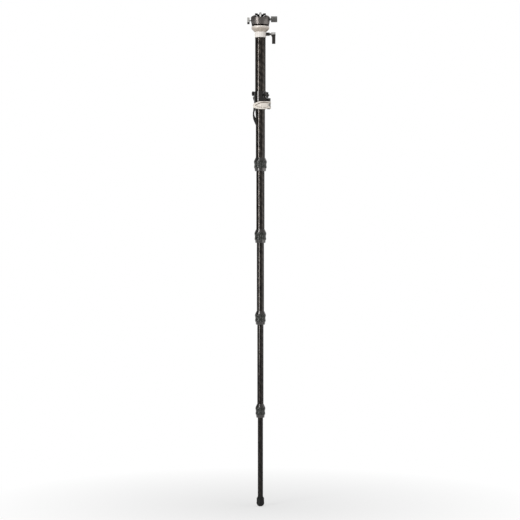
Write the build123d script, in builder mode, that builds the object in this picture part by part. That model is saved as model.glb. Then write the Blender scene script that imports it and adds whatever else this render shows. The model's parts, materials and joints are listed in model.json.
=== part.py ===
from build123d import *
import os
from math import asin, atan2, cos, degrees, radians, sin, sqrt

os.makedirs("parts", exist_ok=True)

# A six-section camera monopod, standing extended. Millimetres. The origin is the centre of the
# foot's tip on the ground, +Z up the column, +X towards the clamp knob, -Y towards the viewer.

# Driving sizes of the column
top_tube_od = 32.0
tube_wall = 1.0
first_gap = 1.0          # radial gap between the two thickest tubes
tube_gap = 0.5           # radial gap between the others
sections = 6
foot_height = 29.0
bare_lengths = [163.5, 145.6, 176.2, 206.6, 240.6, 239.5]   # tube seen, top section first
lever_lock_height = 54.5
twist_lock_height = 41.0
tube_overlap = 50.0      # how far a tube stays inside the one above when it is pulled out

# Clearances
running = 0.05           # radial, a shaft in its bore
sliding = 0.10           # radial, a long guide or a ball in its seat
seat = 0.02              # radial, pieces fixed to each other
apart = 0.3              # free faces that pass each other
cut = 50.0               # overrun of cutting tools

# Column levels worked out from the sizes above
tube_od = [top_tube_od, top_tube_od - 2 * (tube_wall + first_gap)]
while len(tube_od) < sections:
    tube_od.append(tube_od[-1] - 2 * (tube_wall + tube_gap))
tube_r = [od / 2 for od in tube_od]
bore_r = [r - tube_wall for r in tube_r]

lock_z = [0.0] * (sections - 1)       # underside of each lock, the flip lock first
level = foot_height
for place in range(sections - 1, 0, -1):
    level += bare_lengths[place]
    lock_z[place - 1] = level
    level += lever_lock_height if place == 1 else twist_lock_height
neck_z = level + bare_lengths[0]


def save(piece, name):
    piece.part.label = name
    export_step(piece.part, f"parts/{name}.step")


def ring(radius, inner):
    """A flat ring in the sketch that is open."""
    Circle(radius)
    Circle(inner, mode=Mode.SUBTRACT)


# Guide shims at the top of every inner tube
shim_height = 20.0
shim_below_top = 1.5     # from the tube's end down to the shim
shim_slit = 2.0
peg_r = 1.5
peg_slack = 0.1

# Twist lock, radial sizes measured out from the tube that carries it
ferrule_seat_z = 21.0    # the tube's end above the lock's underside
ferrule_low_z = 8.0
ferrule_top_z = 36.0
ferrule_wall = 1.8
collar_skin = 3.4        # floor of the sleeve's recess
collar_floor = 3.0
ring_height = 9.0        # lower gloss ring
ring_low = 2.7
ring_high = 3.7
sleeve_top_z = 31.0
sleeve_crown = 5.6
sleeve_waist = 4.3
sleeve_swell = 5.2
cone_crown = 5.5
cone_lip = 1.0
cone_lip_height = 1.2
edge_round = 0.8
sleeve_swell_share = 0.16      # where the sleeve's swells lie, as shares of its height
sleeve_waist_share = 0.5
sleeve_crown_share = 0.12
collet_flange = 1.2
collet_flange_height = 4.0
collet_base_wall = 2.0
collet_tip_wall = 0.8
collet_height = 17.0
collet_slit = 1.5
collet_slits = 6
collet_slit_depth = 11.0
flute_count = 20
flute_r = 1.1
flute_depth = 0.35


def make_tube(place):
    """One carbon tube; inner ones have two peg holes at their top."""
    outer, inner = tube_r[place], bore_r[place]
    if place == 0:
        low, high = lock_z[0] + collar_seat_z, neck_z
    else:
        high = lock_z[place - 1] + tube_overlap
        if place < sections - 1:
            low = lock_z[place] + ferrule_seat_z
        else:
            low = foot_height - foot_rim
    with BuildPart() as tube:
        with BuildSketch(Plane.XY.offset(low)):
            ring(outer, inner)
        extrude(amount=high - low)
        if place > 0:
            peg_z = high - shim_below_top - shim_height / 2
            with BuildSketch(Plane.YZ.offset(-cut)):
                with Locations((0, peg_z)):
                    Circle(peg_r + peg_slack)
            extrude(amount=2 * cut, mode=Mode.SUBTRACT)
    save(tube, f"section_{place + 1}_tube")


def make_shims(place):
    """Two half shells, each with a peg through the tube's wall, that centre a tube in its bore."""
    inner, outer = tube_r[place] + seat, bore_r[place - 1] - sliding
    high = lock_z[place - 1] + tube_overlap - shim_below_top
    with BuildPart() as shims:
        with BuildSketch(Plane.XY.offset(high - shim_height)):
            ring(outer, inner)
        extrude(amount=shim_height)
        with BuildSketch(Plane.XY.offset(high - shim_height)):
            Rectangle(shim_slit, 2 * cut)
        extrude(amount=shim_height, mode=Mode.SUBTRACT)
        with BuildSketch(Plane.YZ.offset(-(inner + outer) / 2)):
            with Locations((0, high - shim_height / 2)):
                Circle(peg_r)
        extrude(amount=inner + outer)
        with BuildSketch(Plane.XY.offset(high - shim_height)):
            Circle(bore_r[place])
        extrude(amount=shim_height, mode=Mode.SUBTRACT)
    save(shims, f"section_{place + 1}_shims")


def make_ferrule(place, base):
    """Bonded on the tube's end; threaded outside, with a cone inside for the collet."""
    outer, inside = tube_r[place], tube_r[place + 1]
    mouth = inside + collet_base_wall + sliding
    throat = inside + collet_tip_wall + sliding
    with BuildPart() as ferrule:
        with BuildSketch(Plane.XZ):
            with BuildLine():
                Polyline(
                    (outer + seat, base + ferrule_seat_z),
                    (outer + seat, base + ferrule_top_z),
                    (outer + ferrule_wall, base + ferrule_top_z),
                    (outer + ferrule_wall, base + ferrule_low_z),
                    (mouth, base + ferrule_low_z),
                    (throat, base + ferrule_seat_z - tube_wall),
                    (throat, base + ferrule_seat_z),
                    close=True,
                )
            make_face()
        revolve(axis=Axis.Z)
    save(ferrule, f"lock_{place}_ferrule")


def make_collet(place, base):
    """Slotted plastic cone that the collar drives up into the ferrule to grip the tube."""
    inside = tube_r[place + 1] + sliding
    low = base + collar_floor + seat
    neck = low + collet_flange_height
    top = low + collet_height
    with BuildPart() as collet:
        with BuildSketch(Plane.XZ):
            with BuildLine():
                Polyline(
                    (inside, low),
                    (tube_r[place] + collet_flange, low),
                    (tube_r[place] + collet_flange, neck),
                    (tube_r[place + 1] + collet_base_wall, neck),
                    (tube_r[place + 1] + collet_base_wall, base + ferrule_low_z),
                    (tube_r[place + 1] + collet_tip_wall, top),
                    (inside, top),
                    close=True,
                )
            make_face()
        revolve(axis=Axis.Z)
        with BuildSketch(Plane.XY.offset(top - collet_slit_depth)):
            with PolarLocations(0, collet_slits):
                with Locations((cut / 2, 0)):
                    Rectangle(cut, collet_slit)
        extrude(amount=cut, mode=Mode.SUBTRACT)
    save(collet, f"lock_{place}_collet")


def make_collar(place, base):
    """Turned metal collar: gloss cone above, recess for the sleeve, gloss ring below."""
    outer, inside = tube_r[place], tube_r[place + 1]
    top = base + twist_lock_height
    thread_r = outer + ferrule_wall + running
    with BuildPart() as collar:
        with BuildSketch(Plane.XZ):
            with BuildLine():
                Polyline(
                    (inside + apart, base),
                    (outer + ring_low, base),
                    (outer + ring_high, base + ring_height),
                    (outer + collar_skin, base + ring_height),
                    (outer + collar_skin, base + sleeve_top_z),
                    (outer + cone_crown, base + sleeve_top_z),
                    (outer + cone_lip, top),
                    (outer + apart, top),
                    (outer + apart, top - cone_lip_height),
                    (thread_r, top - cone_lip_height - ferrule_wall),
                    (thread_r, base + collar_floor),
                    (inside + apart, base + collar_floor),
                    close=True,
                )
            make_face()
        revolve(axis=Axis.Z)
        rims = collar.edges().filter_by(GeomType.CIRCLE)
        fillet(rims.filter_by(lambda e: abs(e.radius - outer - cone_crown) < seat), edge_round)
        fillet(rims.filter_by(lambda e: abs(e.radius - outer - ring_low) < seat), edge_round)
    save(collar, f"lock_{place}_collar")


def make_sleeve(place, base):
    """Rubber grip with a crown, a waist and a second swell, fluted all round."""
    outer = tube_r[place]
    inner = outer + collar_skin + seat
    low, high = base + ring_height + seat, base + sleeve_top_z - seat
    span = high - low
    with BuildPart() as sleeve:
        with BuildSketch(Plane.XZ):
            with BuildLine():
                outline = Spline(
                    (outer + ring_high + edge_round, low),
                    (outer + sleeve_swell, low + sleeve_swell_share * span),
                    (outer + sleeve_waist, low + sleeve_waist_share * span),
                    (outer + sleeve_crown, high - sleeve_crown_share * span),
                    (outer + cone_crown - edge_round / 2, high),
                )
                Line(outline @ 1, (inner, high))
                Line((inner, high), (inner, low))
                Line((inner, low), outline @ 0)
            make_face()
        revolve(axis=Axis.Z)
        with BuildSketch(Plane.XY.offset(low)):
            with PolarLocations(outer + sleeve_waist + flute_r - flute_depth, flute_count):
                Circle(flute_r)
        extrude(amount=span, mode=Mode.SUBTRACT)
    save(sleeve, f"lock_{place}_sleeve")


# Foot
foot_r = 11.85
foot_tip_r = 4.0
foot_dome_z = 10.5
foot_waist_r = 11.25
foot_waist_z = 17.5
foot_shoulder_r = 11.5
foot_shoulder_z = 23.5
foot_rim = 2.0           # rubber above the tube's end
foot_rim_wall = 0.7
plug_flange = 2.0
plug_depth = 18.0
stud_r = 4.76
stud_length = 13.0


def make_end_plug():
    """Bonded into the last tube; its stud carries the foot."""
    seat_z = foot_height - foot_rim
    with BuildPart() as plug:
        with BuildSketch(Plane.XY.offset(seat_z - plug_flange)):
            Circle(tube_r[-1])
        extrude(amount=plug_flange)
        with BuildSketch(Plane.XY.offset(seat_z)):
            Circle(bore_r[-1] - seat)
        extrude(amount=plug_depth)
        with BuildSketch(Plane.XY.offset(seat_z - plug_flange)):
            Circle(stud_r)
        extrude(amount=-stud_length)
        chamfer(plug.edges().sort_by(Axis.Z)[0], edge_round)
        chamfer(plug.edges().sort_by(Axis.Z)[-1], edge_round)
    save(plug, "foot_plug")


def make_foot():
    """Rubber foot with a domed tip, screwed on the plug's stud."""
    flange_z = foot_height - foot_rim - plug_flange
    stud_low = flange_z - stud_length - seat
    with BuildPart() as foot:
        with BuildSketch(Plane.XZ):
            with BuildLine():
                Line((0, 0), (foot_tip_r, 0))
                dome = TangentArc((foot_r, foot_dome_z), (foot_tip_r, 0),
                                  tangent=(0, -foot_dome_z), tangent_from_first=True)
                Spline((foot_r, foot_dome_z), (foot_waist_r, foot_waist_z),
                       (foot_shoulder_r, foot_shoulder_z))
                Line((foot_shoulder_r, foot_shoulder_z), (tube_r[-1] + foot_rim_wall, foot_height))
                Polyline(
                    (tube_r[-1] + foot_rim_wall, foot_height),
                    (tube_r[-1] + seat, foot_height),
                    (tube_r[-1] + seat, flange_z - seat),
                    (stud_r + seat, flange_z - seat),
                    (stud_r + seat, stud_low),
                    (0, stud_low),
                    (0, 0),
                )
            make_face()
        revolve(axis=Axis.Z)
    save(foot, "rubber_foot")


# Flip lock
collar_seat_z = 24.0     # the top tube's end above the lock's underside
collar_wall = 2.7
clamp_low_z = 1.5
liner_wall = 1.4
clamp_wall = 2.1
clamp_relief = 2.0       # slot that frees the clamping band from the collar
clamp_slit_y = 4.0
clamp_slit = 2.0
ear_reach = 31.0
ear_thick = 4.6
ear_low_z = 3.5
ear_high_z = 21.0
pivot_x = 25.0
pivot_y = -9.0
pin_r = 2.5
pin_head_r = 4.0
pin_head = 1.5
barrel_r = 7.0
knuckle_r = 6.0
knuckle_low_z = 24.3
knuckle_high_z = 33.5
pinch_angle = -38.0
pinch_reach = 27.0
pinch_slit = 2.0
pinch_ear = 6.0
pinch_low_z = 34.5
pinch_high_z = 51.5
pinch_bolt_z = (pinch_low_z + pinch_high_z) / 2
pinch_bolt_reach = 22.5
relief_start_share = -0.5      # the relief slot starts this share of the inner tube's radius away
bolt_r = 2.0
bolt_slack = 0.25
bolt_tail = 1.5                # bolt seen past its nut
nut_r = 4.0
nut_height = 3.2
head_r = 3.5
head_height = 4.0
socket_r = 1.7
eye_r = 5.5
eye_thick = 6.0
eye_z = 13.0
lever_inner = 18.9
lever_wall = 4.0
lever_height = 23.5
lever_pin_low = 1.8            # the lever pin's shoulder above the lock's underside
lever_tip_angle = -168.0
lever_back_angles = (150.0, 80.0)   # corners of the cut that opens the lever at the back
lever_recess = 0.9
bail_angle = 142.0
bail_width = 18.0
bail_post = 2.5
bail_reach = 26.4
bail_bar = 2.6
bail_high = 7.0
bail_top_z = 54.0
strap_width = 12.0
strap_thick = 1.6
strap_steps = 120
seam_height = 2.0              # half the height of the sewn seam
seam_thick = 2.2
seam_width = 9.0


def at_angle(radius, angle, height=0):
    """A point at a radius and an angle about the column."""
    return (radius * cos(radians(angle)), radius * sin(radians(angle)), height)


def make_liner(base):
    """Split plastic liner that the clamping band squeezes on the second tube."""
    inner = tube_r[1] + sliding
    low, high = base + clamp_low_z, base + collar_seat_z - seat
    with BuildPart() as liner:
        with BuildSketch(Plane.XY.offset(low)):
            ring(inner + liner_wall, inner)
            with Locations((cut / 2, clamp_slit_y)):
                Rectangle(cut, clamp_slit, mode=Mode.SUBTRACT)
        extrude(amount=high - low)
    save(liner, "flip_lock_liner")


def make_casting(base):
    """Collar pinched on the top tube, a clamping band below it, ears, knuckle and strap bail."""
    outer = tube_r[0] + collar_wall
    band_inner = tube_r[1] + sliding + liner_wall + seat
    top = base + lever_lock_height
    joint = base + collar_seat_z
    radial = Plane(origin=(0, 0, base), x_dir=at_angle(1, pinch_angle), z_dir=(0, 0, 1))
    bail = Plane(origin=(0, 0, base), x_dir=at_angle(1, bail_angle), z_dir=(0, 0, 1))
    with BuildPart() as casting:
        with BuildSketch(Plane.XY.offset(joint)):
            Circle(outer)
        extrude(amount=top - joint)
        with BuildSketch(Plane.XY.offset(base + clamp_low_z)):
            Circle(band_inner + clamp_wall)
        extrude(amount=joint - base - clamp_low_z)
        # ears of the clamping band
        with BuildSketch(Plane.XY.offset(base + ear_low_z)):
            with Locations((ear_reach / 2, clamp_slit_y)):
                RectangleRounded(ear_reach, 2 * ear_thick + clamp_slit, ear_thick / 2)
        extrude(amount=ear_high_z - ear_low_z)
        # knuckle that carries the lever's pin, faired into the collar
        with BuildSketch(Plane.XY.offset(base + knuckle_low_z)):
            with Locations((pivot_x, pivot_y)):
                Circle(knuckle_r)
            Circle(outer)
            make_hull()
        extrude(amount=knuckle_high_z - knuckle_low_z)
        # ears of the upper pinch
        with BuildSketch(radial.offset(pinch_low_z)):
            with Locations((pinch_reach / 2, 0)):
                RectangleRounded(pinch_reach, 2 * pinch_ear + pinch_slit, pinch_ear / 2)
        extrude(amount=pinch_high_z - pinch_low_z)
        # bail for the strap
        with BuildSketch(bail.offset(bail_top_z - bail_high)):
            with Locations((bail_reach / 2, 0)):
                RectangleRounded(bail_reach, bail_width, bail_post)
        extrude(amount=bail_high)
        with BuildSketch(bail.offset(bail_top_z - bail_high)):
            with Locations(((outer + apart + bail_reach - bail_bar) / 2, 0)):
                Rectangle(bail_reach - bail_bar - outer - apart, bail_width - 2 * bail_post)
        extrude(amount=bail_high, mode=Mode.SUBTRACT)
        # bores
        with BuildSketch(Plane.XY.offset(joint)):
            Circle(tube_r[0] + seat)
        extrude(amount=cut, mode=Mode.SUBTRACT)
        with BuildSketch(Plane.XY.offset(joint)):
            Circle(band_inner)
        extrude(amount=-cut, mode=Mode.SUBTRACT)
        # slits and relief
        with BuildSketch(Plane.XY.offset(base)):
            with Locations((cut / 2, clamp_slit_y)):
                Rectangle(cut, clamp_slit)
        extrude(amount=collar_seat_z, mode=Mode.SUBTRACT)
        with BuildSketch(Plane.XY.offset(joint - clamp_relief)):
            with Locations((cut / 2 + tube_r[1] * relief_start_share, 0)):
                Rectangle(cut, 2 * cut)
        extrude(amount=clamp_relief, mode=Mode.SUBTRACT)
        with BuildSketch(radial.offset(collar_seat_z)):
            with Locations((cut / 2, 0)):
                Rectangle(cut, pinch_slit)
        extrude(amount=cut, mode=Mode.SUBTRACT)
        # bolt and pin holes
        with BuildSketch(Plane.XZ.offset(-cut)):
            with Locations((pivot_x, base + eye_z)):
                Circle(bolt_r + bolt_slack)
        extrude(amount=2 * cut, mode=Mode.SUBTRACT)
        with BuildSketch(Plane.XY.offset(base + knuckle_high_z - pin_head)):
            with Locations((pivot_x, pivot_y)):
                Circle(pin_r + seat)
        extrude(amount=-cut, mode=Mode.SUBTRACT)
        with BuildSketch(Plane(radial.origin + (0, 0, pinch_bolt_z),
                               x_dir=(0, 0, 1), z_dir=radial.y_dir).offset(-cut)):
            with Locations((0, pinch_bolt_reach)):
                Circle(bolt_r + bolt_slack)
        extrude(amount=2 * cut, mode=Mode.SUBTRACT)
    save(casting, "flip_lock_collar")


# The lever's front view, as shares of its height
tip_high_share = 0.78
tip_low_share = 0.24
belly_share = 0.07
hollow_share = 0.12
toe_share = 0.06
brow_share = 0.98
# and as shares of its reach from the column's axis, left ones negative
tip_top_share = -0.82
tip_low_x_share = -0.88
belly_x_share = -0.48
middle_x_share = -0.08
heel_x_share = 0.38
hollow_x_share = 0.74

# The leaf in the lever's face, as shares of the lever's height and reach
leaf_tip_share = -0.66
leaf_tip_high_share = 0.52
leaf_top_share = 0.82
leaf_end_share = 0.74
leaf_end_top_share = 0.74
leaf_end_low_share = 0.34
leaf_low_share = 0.24
leaf_belly_share = 0.1


def lever_outline():
    """Plan view of the lever: a band round the front that runs out into the pin's barrel."""
    swing = degrees(atan2(pivot_y, pivot_x))
    with Locations((pivot_x, pivot_y)):
        Circle(barrel_r)
    Circle(lever_inner + lever_wall)
    make_hull()
    Polygon((0, 0), *(at_angle(2 * cut, angle)[:2] for angle in
              (lever_tip_angle, *lever_back_angles, swing)), align=None, mode=Mode.SUBTRACT)
    with Locations((pivot_x, pivot_y)):
        Circle(barrel_r)


def make_lever(base):
    """Silver lever that wraps the front of the lock and turns on a pin beside the column."""
    outer = lever_inner + lever_wall
    right = pivot_x + barrel_r
    high = lever_height
    low_z = base
    # the leaf-shaped hollow in the lever's face
    with BuildPart() as core:
        with BuildSketch(Plane.XY.offset(base)):
            lever_outline()
            offset(amount=-lever_recess)
            Circle(lever_inner + lever_wall / 2)
        extrude(amount=high)
    with BuildPart() as leaf:
        with BuildSketch(Plane.XZ):
            with BuildLine():
                tip = (leaf_tip_share * outer, low_z + leaf_tip_high_share * high)
                end_top = (leaf_end_share * right, low_z + leaf_end_top_share * high)
                end_low = (leaf_end_share * right, low_z + leaf_end_low_share * high)
                Spline(tip, (0, low_z + leaf_top_share * high), end_top)
                Line(end_top, end_low)
                Spline(end_low, (leaf_belly_share * outer, low_z + leaf_low_share * high), tip)
            make_face()
        extrude(amount=cut)
        add(core.part, mode=Mode.SUBTRACT)
    with BuildPart() as lever:
        with BuildSketch(Plane.XY.offset(base)):
            lever_outline()
            Circle(lever_inner, mode=Mode.SUBTRACT)
        extrude(amount=high)
        with BuildSketch(Plane.XZ.offset(-cut)):
            with BuildLine():
                tip_top = (tip_top_share * outer, low_z + tip_high_share * high)
                tip_low = (tip_low_x_share * outer, low_z + tip_low_share * high)
                toe = (right, low_z + toe_share * high)
                brow = (middle_x_share * outer, low_z + brow_share * high)
                ThreePointArc(tip_top, (-outer, low_z + (tip_high_share + tip_low_share) * high / 2),
                              tip_low)
                Spline(
                    tip_low,
                    (belly_x_share * outer, low_z + belly_share * high),
                    (middle_x_share * outer, low_z),
                    (heel_x_share * right, low_z),
                    (hollow_x_share * right, low_z + hollow_share * high),
                    toe,
                )
                Polyline(toe, (right, low_z + high), brow, tip_top)
            make_face()
        extrude(amount=2 * cut, mode=Mode.INTERSECT)
        add(leaf.part, mode=Mode.SUBTRACT)
        with BuildSketch(Plane.XY.offset(base)):
            with Locations((pivot_x, pivot_y)):
                Circle(pin_r + running)
        extrude(amount=high, mode=Mode.SUBTRACT)
        with BuildSketch(Plane.XY.offset(base + eye_z - eye_thick / 2 - apart)):
            with Locations((pivot_x, pivot_y)):
                Circle(barrel_r + apart)
        extrude(amount=eye_thick + 2 * apart, mode=Mode.SUBTRACT)
    save(lever, "flip_lever")


def make_lever_hardware(base):
    """The lever's pin, the eye bolt that pulls the band's ears together, and the pinch screw."""
    with BuildPart() as pin:
        with BuildSketch(Plane.XY.offset(base + lever_pin_low)):
            with Locations((pivot_x, pivot_y)):
                Circle(pin_r)
        extrude(amount=knuckle_high_z - pin_head - seat - lever_pin_low)
        with BuildSketch(Plane.XY.offset(base + lever_pin_low)):
            with Locations((pivot_x, pivot_y)):
                Circle(pin_head_r)
        extrude(amount=-pin_head)
        chamfer(pin.faces().sort_by(Axis.Z)[0].edges(), apart)
    save(pin, "flip_lever_pin")

    far_face = clamp_slit_y + clamp_slit / 2 + ear_thick
    with BuildPart() as bolt:
        with BuildSketch(Plane.XY.offset(base + eye_z - eye_thick / 2)):
            with Locations((pivot_x, pivot_y)):
                Circle(eye_r)
        extrude(amount=eye_thick)
        with BuildSketch(Plane.XZ.offset(-pivot_y - pin_r)):
            with Locations((pivot_x, base + eye_z)):
                Circle(bolt_r)
        extrude(amount=-(far_face + nut_height + bolt_tail - pivot_y - pin_r))
        with BuildSketch(Plane.XY.offset(base)):
            with Locations((pivot_x, pivot_y)):
                Circle(pin_r + running)
        extrude(amount=cut, mode=Mode.SUBTRACT)
    save(bolt, "flip_lock_eye_bolt")

    across = Plane(origin=(0, 0, base + pinch_bolt_z), x_dir=(0, 0, 1),
                   z_dir=at_angle(1, pinch_angle + 90))
    half = pinch_slit / 2 + pinch_ear
    with BuildPart() as screw:
        with BuildSketch(across.offset(-half - seat)):
            with Locations((0, pinch_bolt_reach)):
                Circle(bolt_r)
        extrude(amount=2 * half + nut_height)
        with BuildSketch(across.offset(-half - seat)):
            with Locations((0, pinch_bolt_reach)):
                Circle(head_r)
        extrude(amount=-head_height)
        with BuildSketch(across.offset(-half - head_height - seat)):
            with Locations((0, pinch_bolt_reach)):
                RegularPolygon(socket_r, 6)
        extrude(amount=head_height / 2, mode=Mode.SUBTRACT)
    save(screw, "collar_pinch_screw")

    with BuildPart() as nuts:
        with BuildSketch(Plane.XZ.offset(-far_face - seat)):
            with Locations((pivot_x, base + eye_z)):
                RegularPolygon(nut_r, 6)
                Circle(bolt_r + seat, mode=Mode.SUBTRACT)
        extrude(amount=-nut_height)
        with BuildSketch(across.offset(half + seat)):
            with Locations((0, pinch_bolt_reach)):
                RegularPolygon(nut_r, 6)
                Circle(bolt_r + seat, mode=Mode.SUBTRACT)
        extrude(amount=nut_height)
    save(nuts, "flip_lock_nuts")


# The strap's path down its front leg and up its back leg: radius and height in millimetres,
# height from the top of the bail's bar, and the angle about the column in degrees.
strap_path = [
    (27.9, 140.0, -6.5), (28.3, 141.5, -1.5), (28.0, 142.0, 3.0), (26.2, 142.0, 5.2),
    (23.9, 142.0, 5.2), (22.0, 142.0, 2.4), (21.5, 141.5, -5.0), (21.6, 139.0, -14.0),
    (21.9, 135.5, -24.0), (22.3, 135.0, -35.0), (22.8, 140.5, -46.0), (23.1, 146.0, -55.0),
    (23.5, 145.0, -62.5), (24.4, 136.5, -70.0), (26.1, 124.0, -77.5), (28.1, 113.5, -85.5),
    (29.2, 106.0, -95.0), (28.9, 101.0, -107.0), (27.2, 98.0, -121.0), (25.6, 95.5, -137.0),
    (25.8, 93.0, -153.0), (28.8, 91.4, -165.0), (32.4, 90.8, -169.0), (35.8, 90.8, -164.5),
    (37.3, 92.0, -151.0), (37.5, 96.0, -132.0), (36.9, 100.0, -110.0), (35.8, 104.0, -90.0),
    (34.4, 108.0, -70.0), (32.7, 112.0, -51.0), (30.6, 117.0, -34.0), (28.3, 125.0, -21.0),
    (26.2, 134.5, -12.5), (25.2, 139.0, -9.0),
]


def make_strap(base):
    """Webbing strap: round the bail's bar, down behind the lock and up again, ends sewn together."""
    top = base + bail_top_z - bail_high / 2
    path = Spline(*(at_angle(radius, angle, top + height) for radius, angle, height in strap_path))
    corners = []
    for step in range(strap_steps + 1):
        place, along = path @ (step / strap_steps), path % (step / strap_steps)
        across = Vector(-place.Y, place.X, 0).normalized()
        across = (across - along * across.dot(along)).normalized()
        through = along.cross(across)
        corners.append([place + across * (wide * strap_width / 2)
                        + through * (thick * strap_thick / 2)
                        for wide, thick in ((-1, -1), (1, -1), (1, 1), (-1, 1))])
    faces = [Face(Wire.make_polygon(corners[end])) for end in (0, -1)]
    for here, there in zip(corners, corners[1:]):
        for side in range(4):
            faces.append(Face.make_surface_from_curves(Edge.make_line(here[side - 1], here[side]),
                                                       Edge.make_line(there[side - 1], there[side])))
    seam = Plane(origin=at_angle((strap_path[0][0] + strap_path[-1][0]) / 2, strap_path[0][1],
                                 top + strap_path[-1][2] + seam_height),
                 x_dir=at_angle(1, strap_path[0][1]), z_dir=(0, 0, 1))
    with BuildPart() as strap:
        add(Solid(Shell(faces)))
        with BuildSketch(seam):
            Rectangle(seam_thick, seam_width)
        extrude(amount=seam_height, both=True)
    save(strap, "wrist_strap")


# Head: heights from the top of the top tube, the neck's underside
neck_r = 17.1
neck_height = 17.0
spigot_depth = 22.0
neck_bore_r = 13.2
bowl_depth = 16.5
bowl_rim_r = 26.9
bowl_belly_r = 27.0
bowl_rim_height = 6.5
bowl_floor = 2.0
bowl_foot_r = 17.6
bowl_flank_share = 0.28        # a point on the bowl's flank, as shares of its depth and radius
bowl_flank_r_share = 0.83
ball_r = 25.9
ball_above_rim = 5.0     # the ball's centre above the bowl's rim
ball_cavity_r = 18.0
ball_cut = 16.0          # the ball is cut off this far below its centre
liner_thick = 0.5
liner_top = 8.5
liner_low = 15.5
cap_top = 12.0
cap_low = 17.0
rod_r = 3.0
rod_head_r = 5.5
rod_head = 4.0
block_height = 13.5
block_gap = 2.0
spindle_z = 10.8
spindle_r = 4.0
spindle_tip_r = 2.2
spindle_throw = 0.8
spindle_tip_reach = 9.5
spindle_shoulder = 12.0
stem_r = 5.2
stem_reach = 28.0
link_r = 3.0
hub_start = 32.0
hub_end = 46.0
hub_r = 5.75
blade_start = 35.2
blade_end = 45.4
blade_length = 29.5
blade_wide = 8.5
blade_flare = 9.0        # the blade widens to its hub from this far below the axis
blade_cheek = 2.0        # height of the widened part's straight cheek below the axis

pan_base_height = 10.0
pan_base_low_r = 26.3
pan_base_high_r = 28.1
post_r = 8.0
post_high = 13.4
post_neck_r = 5.0
post_neck_high = 16.1
pan_screw_r = 2.5
pan_flange_r = 8.0
pan_flange = 1.2
pan_head_r = 4.5
pan_head = 2.0
clamp_r = 28.7
clamp_height = 18.0
clamp_belly_low = 5.0
clamp_belly_high = 12.5
shoulder_r = 27.0
shoulder_drop = 3.0
clamp_top_r = 21.5
groove_depth = 7.5
lip_height = 2.0         # straight foot of the dovetail
dovetail_rise = 2.5
plate_half = 16.5
dovetail_half = 19.0
jaw_face = 16.0
jaw_step = 2.2           # jaw's underside above the clamp body's underside
clamp_screw_z = 7.2      # above the clamp body's underside
clamp_screw_r = 2.5
clamp_screw_tip = 8.8
collar_stub_r = 4.0
knob_start = 32.0
knob_end = 51.0
knob_r = 9.0
knob_flutes = 16
knob_flute_r = 1.4
knob_bore_depth = 12.0
guide_r = 1.8
guide_y = 14.0
guide_start = 7.0
guide_end = 23.0
pan_lock_z = 2.9
pan_lock_r = 2.0
pan_lever_start = 32.7
pan_lever_thick = 7.2
pan_lever_wide = 7.5
pan_lever_high = 10.1
pan_lever_low = 10.8
pan_grip = 6.0

plate_length = 52.0
plate_deck = 8.8
pad_height = 2.0
pad_inner = 8.4
pad_inset = 0.4
notch_half = 8.2
notch_foot_half = 3.6
notch_depth = 8.0
notch_rise = 2.6
camera_screw_r = 3.175
camera_screw_y = -8.0
camera_screw_high = 6.9
camera_head_r = 8.0
camera_head = 3.2
screw_travel_front = 4.0
screw_travel_back = 12.0
coin_slot = 1.6
coin_depth = 1.2


def half_section(*points):
    """Closed straight-sided half section, to be turned about the column's axis."""
    with BuildSketch(Plane.XZ) as section:
        Polygon(*points, align=None)
    return section.sketch


def make_neck(base):
    """Silver neck with a hollow spigot in the top tube and a side bore for the lever's spindle."""
    with BuildPart() as neck:
        with BuildSketch(Plane.XY.offset(base)):
            ring(neck_r, neck_bore_r)
        extrude(amount=neck_height)
        fillet(neck.edges().sort_by(Axis.Z)[-2:].sort_by(SortBy.RADIUS)[-1:], apart)
        with BuildSketch(Plane.XY.offset(base)):
            ring(bore_r[0] - seat, neck_bore_r)
        extrude(amount=-spigot_depth)
        with BuildSketch(Plane.YZ):
            with Locations((0, base + spindle_z)):
                Circle(spindle_r + running)
        extrude(amount=cut, mode=Mode.SUBTRACT)
    save(neck, "head_neck")


def make_bowl(base, centre):
    """Silver bowl that seats the levelling ball."""
    inner = ball_r + 2 * running + liner_thick
    rim = base + bowl_depth
    floor_z = base + bowl_floor
    floor_r = sqrt(inner**2 - (centre - floor_z)**2)
    mouth_r = sqrt(inner**2 - (centre - rim)**2)
    seat_mid = at_angle(inner, (degrees(asin((floor_z - centre) / inner))
                                + degrees(asin((rim - centre) / inner))) / 2)
    with BuildPart() as bowl:
        with BuildSketch(Plane.XZ):
            with BuildLine():
                ThreePointArc((floor_r, floor_z), (seat_mid[0], centre + seat_mid[1]),
                              (mouth_r, rim))
                Polyline((mouth_r, rim), (bowl_rim_r, rim), (bowl_belly_r, rim - bowl_rim_height))
                ThreePointArc((bowl_belly_r, rim - bowl_rim_height),
                              (bowl_flank_r_share * bowl_belly_r,
                               base + bowl_flank_share * bowl_depth),
                              (bowl_foot_r, base))
                Polyline((bowl_foot_r, base), (rod_r + sliding, base),
                         (rod_r + sliding, floor_z), (floor_r, floor_z))
            make_face()
        revolve(axis=Axis.Z)
        with BuildSketch(Plane.XY.offset(base)):
            ring(neck_bore_r - seat, rod_r + sliding)
        extrude(amount=-bowl_floor / 2)
    save(bowl, "head_bowl")


def shell_section(inner, outer, low, high, centre):
    """Half section of a spherical shell, between two heights measured from its centre."""
    def point(radius, height):
        return (sqrt(radius**2 - height**2), centre + height)

    middle = (low + high) / 2
    with BuildSketch(Plane.XZ) as section:
        with BuildLine():
            ThreePointArc(point(inner, low), point(inner, middle), point(inner, high))
            Line(point(inner, high), point(outer, high))
            ThreePointArc(point(outer, high), point(outer, middle), point(outer, low))
            Line(point(outer, low), point(inner, low))
        make_face()
    return section.sketch


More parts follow.
